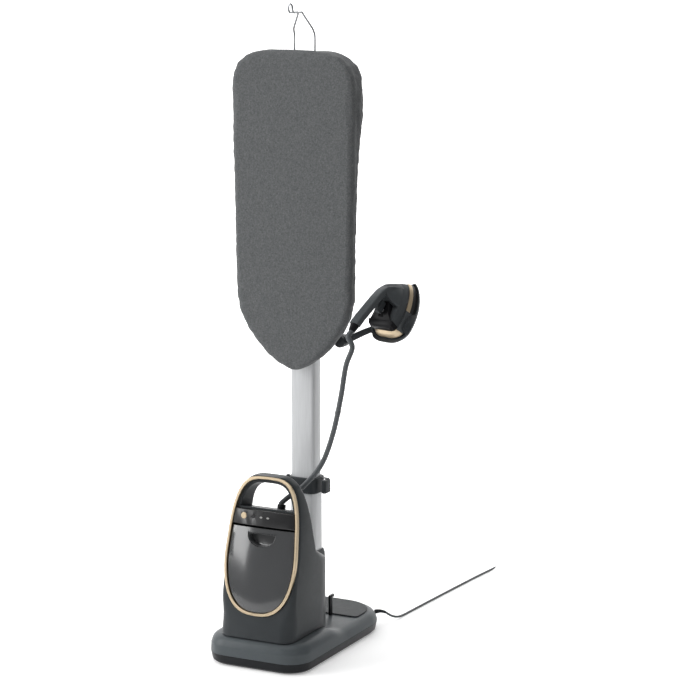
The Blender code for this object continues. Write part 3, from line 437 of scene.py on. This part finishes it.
def finished(node, edge):
    """A finished copy of a CAD node: flat stretches joined, edges rounded, curves smooth."""
    bm = bmesh.new()
    bm.from_mesh(nodes[node].data)
    bmesh.ops.remove_doubles(bm, verts=bm.verts, dist=0.00001)
    bmesh.ops.dissolve_limit(bm, angle_limit=math.radians(0.1 if node in CROWNED_NODES else 0.8),
                             verts=bm.verts, edges=bm.edges)
    piece = mesh_object(node + "_finish", bm, OWN_LOOKS.get(node, looks[slots[node]]), SHARP_DEGREES)
    if edge:
        bevel = piece.modifiers.new("edges", "BEVEL")
        bevel.width = edge
        bevel.segments = 2
        bevel.limit_method = "ANGLE"
        bevel.angle_limit = math.radians(SHARP_DEGREES)
        bevel.harden_normals = True
    return own(piece, body_of[node], slots[node], node)


edge_of = {node: width for width, members in OTHER_EDGE_WIDTHS.items() for node in members}
for node in sorted(nodes):
    if node not in SOFT_NODES:
        finished(node, edge_of.get(node, EDGE_WIDTH))
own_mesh(bpy.data.objects["trigger_spring_finish"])


# ---- Board cover ----
PAD_VOXEL, PAD_DRAW_IN = 0.0055, 0.0012
PAD_PRESSURE, PAD_PUFF_LIMIT, PAD_FRAMES = 3.0, 0.0035, 20
GATHER_DEPTH, CREASE_DEPTH, DIMPLE_DEPTH = 0.0016, 0.0012, 0.0005
SEAM_GAP = 0.0036
DRAWCORD_INSET, DRAWCORD_RADIUS = 0.0225, 0.0019
# The half width that an inset is scaled by, and the back panel's steps from its outer edge inward:
# how far in from the board's outline, and how far out from the board's back.
PANEL_SCALE_WIDTH = 0.19
PANEL_STEPS = ((0.026, -0.0070), (0.026, -0.0016), (0.0275, -0.0004), (0.060, -0.0004),
               (0.0615, -0.0014), (0.066, -0.0014), (0.0675, -0.0004))


def board_half_width(z):
    """Half the board's width at a height: a rounded tip, a slight flare, and rounded shoulders."""
    if z < TIP_END_Z:
        share = (z - BOARD_TIP_Z) / (TIP_END_Z - BOARD_TIP_Z)
        return BOARD_HALF_WIDTH * (1 - (1 - max(0.0, share)) ** 1.5) ** 0.66
    side = BOARD_HALF_WIDTH + BOARD_FLARE * min(1.0, (z - TIP_END_Z) / FLARE_HEIGHT)
    share = min(1.0, max(0.0, (z - SHOULDER_Z) / (BOARD_TOP_Z - SHOULDER_Z)))
    return side * (1 - share ** SHOULDER_POWER) ** (1 / SHOULDER_POWER)


def ease(value, low, high):
    """A smooth step from 0 at low to 1 at high."""
    t = min(1.0, max(0.0, (value - low) / (high - low)))
    return t * t * (3 - 2 * t)


def core_back(z):
    """Where the board's back face is: the board is thicker above 1.3 m, and rounds off at its top."""
    return BOARD_BACK + 0.027 * ease(z, 1.28, 1.50) - 0.010 * ease(z, 1.60, 1.655)


def apply_modifiers(obj):
    mesh = bpy.data.meshes.new_from_object(obj.evaluated_get(bpy.context.evaluated_depsgraph_get()))
    obj.modifiers.clear()
    obj.data = mesh


def puff(obj):
    """Fills the pad with air as cloth, and keeps each point near its start."""
    start = [v.co.copy() for v in obj.data.vertices]
    cloth = obj.modifiers.new("cloth", "CLOTH")
    cloth.settings.use_pressure = True
    cloth.settings.uniform_pressure_force = PAD_PRESSURE
    cloth.settings.tension_stiffness = 25
    cloth.settings.compression_stiffness = 25
    cloth.settings.bending_stiffness = 0.3
    cloth.settings.effector_weights.gravity = 0
    for step in range(1, PAD_FRAMES + 1):
        bpy.context.scene.frame_set(step)
    apply_modifiers(obj)
    bpy.context.scene.frame_set(1)
    for vertex, home in zip(obj.data.vertices, start):
        move = vertex.co - home
        if move.length > PAD_PUFF_LIMIT:
            vertex.co = home + move * (PAD_PUFF_LIMIT / move.length)


def board_pad():
    """The padded cover's body: the board's own outline, a little slack, ready to be filled."""
    bm = bmesh.new()
    for node in ("board_cover", "board_core"):
        bm.from_mesh(nodes[node].data)
    pad = mesh_object("ironing_cover", bm, looks["cover_fabric"])
    remesh = pad.modifiers.new("voxels", "REMESH")
    remesh.mode = "VOXEL"
    remesh.voxel_size = PAD_VOXEL
    smooth = pad.modifiers.new("even", "SMOOTH")
    smooth.iterations = 6
    apply_modifiers(pad)
    for vertex in pad.data.vertices:
        vertex.co -= vertex.normal * PAD_DRAW_IN
    puff(pad)
    finer = pad.modifiers.new("finer", "SUBSURF")
    finer.levels = finer.render_levels = 1
    apply_modifiers(pad)
    normals = [v.normal.copy() for v in pad.data.vertices]
    for vertex, normal in zip(pad.data.vertices, normals):
        x, y, z = vertex.co
        beside = 1 - abs(normal.y) ** 2
        gathers = noise.noise(Vector((x * 14, y * 30, z * 55))) * GATHER_DEPTH
        creases = (1 - abs(noise.noise(Vector((x * 9, y * 45 + z * 22, z * 30))))) ** 6 * -CREASE_DEPTH
        dimples = noise.noise(Vector((x * 12, 0, z * 9))) * DIMPLE_DEPTH
        vertex.co += normal * (beside * (gathers + creases) + dimples)
        vertex.co.y = max(BOARD_FRONT, min(vertex.co.y, core_back(z) - SEAM_GAP))
    pad.data.shade_smooth()
    own(pad, "board", "cover_fabric", "board_cover", "board_core")


def outline_at(inset, count=72):
    """The board's outline, drawn in by inset, as (x, z) points from the tip up the right side."""
    low, high = BOARD_TIP_Z + inset, BOARD_TOP_Z - inset
    right = []
    for k in range(count + 1):
        z = low + (high - low) * (1 - math.cos(math.pi * k / count)) / 2
        source = BOARD_TIP_Z + (z - low) / (high - low) * (BOARD_TOP_Z - BOARD_TIP_Z)
        right.append((max(0.0, board_half_width(source) * (1 - inset / PANEL_SCALE_WIDTH)), z))
    right[0], right[-1] = (0.0, low), (0.0, high)
    return right + [(-x, z) for x, z in reversed(right[1:-1])]


def board_back_panel():
    """The moulded panel that closes the board's back, its step, and the cover's drawcord round it."""
    rings = [[(x, core_back(z) + lift, z) for x, z in outline_at(inset)] for inset, lift in PANEL_STEPS]
    bm = bmesh.new()
    levels = [[bm.verts.new(p) for p in ring] for ring in rings]
    count = len(rings[0])
    for low, high in zip(levels, levels[1:]):
        for k in range(count):
            bm.faces.new((low[k], low[(k + 1) % count], high[(k + 1) % count], high[k]))
    half = count // 2
    inner = levels[-1]
    for k in range(half):
        left, left_next = inner[-k % count], inner[(-k - 1) % count]
        if k == 0:
            bm.faces.new((inner[0], inner[1], left_next))
        elif k == half - 1:
            bm.faces.new((inner[k], inner[k + 1], left))
        else:
            bm.faces.new((inner[k], inner[k + 1], left_next, left))
    bmesh.ops.recalc_face_normals(bm, faces=bm.faces)
    panel = mesh_object("board_back_panel", bm, looks["board_padding"], 40)
    own(panel, "board", "board_padding")
    route = [Vector((x, core_back(z) - SEAM_GAP, z)) for x, z in outline_at(DRAWCORD_INSET)]
    drawcord = tube("cover_drawcord", route + [route[0]], DRAWCORD_RADIUS, looks["cover_fabric"], 8)
    own(drawcord, "board", "cover_fabric")


board_pad()
board_back_panel()


# ---- Hose ----
def smooth_hose():
    """The hose's route, from the tower's outlet to the iron's cuff."""
    up = on_face(0, 1, 0) - on_face(0, 0, 0)
    seat = on_face(*HOSE_OUTLET)
    end = [iron_point(0, -HANDLE_END_BACK - back, HANDLE_END_HEIGHT) for back in (0.040, 0.022, 0.0055)]
    route = [seat + up * 0.0015, seat + up * 0.009, seat + up * 0.017,
             (0.038, -0.149, 0.457), (0.066, -0.130, 0.482), (0.117, -0.130, 0.545),
             (0.159, -0.146, 0.635), (0.191, -0.162, 0.740), (0.2125, -0.174, 0.830),
             (0.2330, -0.177, 0.882)] + end
    return catmull(route, 10)


def make_hose():
    """The steam hose in two lengths that meet at a slim ring, which rides on the column."""
    route = smooth_hose()
    meet = min(range(len(route)), key=lambda k: abs(route[k].z - HOSE_MEET_Z))
    lower, upper = route[:meet + 1], route[meet:]
    low_hose = tube("steam_hose_lower", lower, HOSE_RADIUS, looks["hose_grey"], HOSE_SIDES)
    high_hose = tube("steam_hose_upper", upper, HOSE_RADIUS, looks["hose_grey"], HOSE_SIDES)
    ahead = (route[meet + 1] - route[meet - 1]).normalized()
    ring_route = [route[meet] + ahead * d for d in (-0.005, -0.0044, -0.002, 0.002, 0.0044, 0.005)]
    ring = tube("hose_ring", ring_route,
                lambda share: HOSE_RADIUS + (0.0001 if share in (0.0, 1.0) else 0.0006),
                looks["hose_grey"], HOSE_SIDES)
    own(ring, "column", "hose_grey")
    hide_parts("steam_hose")
    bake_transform(low_hose)
    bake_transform(high_hose)


make_hose()


# ---- Mains cord ----
def coiled(floor):
    """The coil's centreline: from the outside in and back out, one layer above the other.

    Each stretch says its turns, then its first and last ring inward and its first and last layer."""
    plan = ((2.0, 0, 2, 0, 0), (0.5, 2, 2, 0, 1), (2.0, 2, 0, 1, 1), (0.5, 0, 0, 1, 2), (0.25, 0, 0, 2, 2))
    angle = math.pi
    coil = []
    for turns, first_in, last_in, first_layer, last_layer in plan:
        steps = int(turns * COIL_STEPS_PER_TURN)
        for k in range(steps):
            share = k / steps
            radius = COIL_OUTER - COIL_STEP * (first_in + (last_in - first_in) * share)
            layer = first_layer + (last_layer - first_layer) * ease(share, 0, 1)
            here = angle - math.tau * turns * share
            coil.append(COIL_CENTRE + Vector((radius * math.cos(here), radius * math.sin(here),
                                              floor + layer * COIL_STEP)))
        angle -= math.tau * turns
    return coil


def make_mains_cord():
    """The mains cord: out of the gland, down to the floor, away behind, and wound into a round coil."""
    out = Vector((math.cos(GLAND_ANGLE), math.sin(GLAND_ANGLE), 0.0))
    start = GLAND_ROOT + out * GLAND_REACH
    floor = CORD_RADIUS + 0.0002
    drop = [start, start + out * 0.006, (0.1370, 0.2220, 0.0355), (0.1440, 0.2480, 0.0190),
            (0.1480, 0.2780, 0.0080)]
    along_floor = ((0.1500, 0.3150), (0.1530, 0.3700), (0.1565, 0.4300), (0.1605, 0.5000), (0.1650, 0.5800),
                   (0.1705, 0.6700), (0.1780, 0.7800), (0.1850, 0.8600), (0.1900, 0.9100), (0.1955, 0.9450),
                   (0.1985, 0.9750))
    route = drop + [(x, y, floor) for x, y in along_floor]
    top = floor + 2 * COIL_STEP
    tail = [COIL_CENTRE + Vector((x, COIL_OUTER, top)) for x in (0.0, 0.018, 0.036, 0.0515)]
    path = catmull(route + coiled(floor) + tail, 4)
    cord = tube("mains_cord_run", path, CORD_RADIUS, looks["cord_grey"], 14)
    own(cord, "root", "cord_grey", "mains_cord", "mains_cord_coil")
    boot = tube("cord_boot", path[:9], lambda share: CORD_RADIUS + 0.0026 - 0.0019 * share,
                looks["rim_black"])
    own(boot, "root", "rim_black")


make_mains_cord()


# ---- Studio ----
SHEET_TURN, SHEET_RADIUS, SHEET_TOP = 0.67, 0.15, 3.2
SHEET_SIDES = (-2.2, 1.3)
# Each lamp's name, place, the point that it faces, its width and height, and its power in watts.
LAMPS = (
    ("key", (-3.1, -2.4, 2.1), (0, 0, 0.8), (2.6, 3.2), 150),
    ("fill", (3.4, -2.4, 2.2), (0, 0, 0.8), (1.6, 2.4), 10),
    ("top", (0.3, -0.6, 3.6), (0, 0, 0.3), (2.5, 2.5), 34),
)
WORLD_LIGHT = 0.28


def sheet_look():
    """White paper that glows more as it rises, and that only its front side shows."""
    look = Look("studio_sheet", roughness=0.9, specular_ior_level=0.05, emission_color=(1.0, 1.0, 1.0))
    look.colour(look.blend(look.noise(3, 2), (0.90, 0.90, 0.90), (0.93, 0.93, 0.93)))
    height = look.add("ShaderNodeSeparateXYZ")
    look.join(look.place, height.inputs["Vector"])
    glow = look.add("ShaderNodeMapRange")
    glow.inputs["From Max"].default_value = 0.25
    glow.inputs["To Min"].default_value = 0.28
    glow.inputs["To Max"].default_value = 0.85
    look.join(height.outputs["Z"], glow.inputs["Value"])
    look.join(glow.outputs["Result"], look.shader.inputs["Emission Strength"])
    clear = look.add("ShaderNodeBsdfTransparent")
    sides = look.add("ShaderNodeMixShader")
    look.join(look.add("ShaderNodeNewGeometry").outputs["Backfacing"], sides.inputs["Fac"])
    look.join(look.shader.outputs["BSDF"], sides.inputs[1])
    look.join(clear.outputs["BSDF"], sides.inputs[2])
    look.join(sides.outputs["Shader"], look.tree.nodes["Material Output"].inputs["Surface"])
    return look.material


def make_stage():
    """A white sheet: level floor under the object, sweeping up close behind it."""
    turn = math.radians(CAMERA_TURN)
    view = Vector((-math.sin(turn), math.cos(turn), 0))
    side = Vector((view.y, -view.x, 0))
    profile = [(-3.5, 0.0), (-1.0, 0.0), (0.0, 0.0), (0.4, 0.0)]
    for k in range(25):
        bend = math.pi / 2 * k / 24
        profile.append((SHEET_TURN + SHEET_RADIUS * math.sin(bend), SHEET_RADIUS * (1 - math.cos(bend))))
    profile.append((SHEET_TURN + SHEET_RADIUS, SHEET_TOP))
    bm = bmesh.new()
    rows = [[bm.verts.new(view * depth + side * across + Vector((0, 0, z))) for across in SHEET_SIDES]
            for depth, z in profile]
    for (a, b), (c, d) in zip(rows, rows[1:]):
        bm.faces.new((a, b, d, c))
    mesh_object("studio_sheet", bm, sheet_look(), 60)


def area_light(name, place, target, size, power):
    data = bpy.data.lights.new(name, "AREA")
    data.shape = "RECTANGLE"
    data.size, data.size_y = size
    data.energy = power
    lamp = link(bpy.data.objects.new(name, data))
    lamp.location = place
    lamp.rotation_euler = (Vector(target) - Vector(place)).to_track_quat("-Z", "Y").to_euler()


def make_camera():
    data = bpy.data.cameras.new("camera")
    data.lens, data.sensor_width = CAMERA_LENS, SENSOR_WIDTH
    camera = link(bpy.data.objects.new("camera", data))
    camera.location = CAMERA_PLACE
    camera.rotation_euler = (math.radians(90 - CAMERA_DROP), 0, math.radians(CAMERA_TURN))
    bpy.context.scene.camera = camera


def make_studio():
    make_stage()
    for lamp in LAMPS:
        area_light(*lamp)
    world = bpy.data.worlds.new("studio")
    world.use_nodes = True
    world.node_tree.nodes["Background"].inputs["Color"].default_value = (1.0, 1.0, 1.0, 1.0)
    world.node_tree.nodes["Background"].inputs["Strength"].default_value = WORLD_LIGHT
    bpy.context.scene.world = world
    bpy.context.scene.view_settings.view_transform = "Standard"
    make_camera()


make_studio()
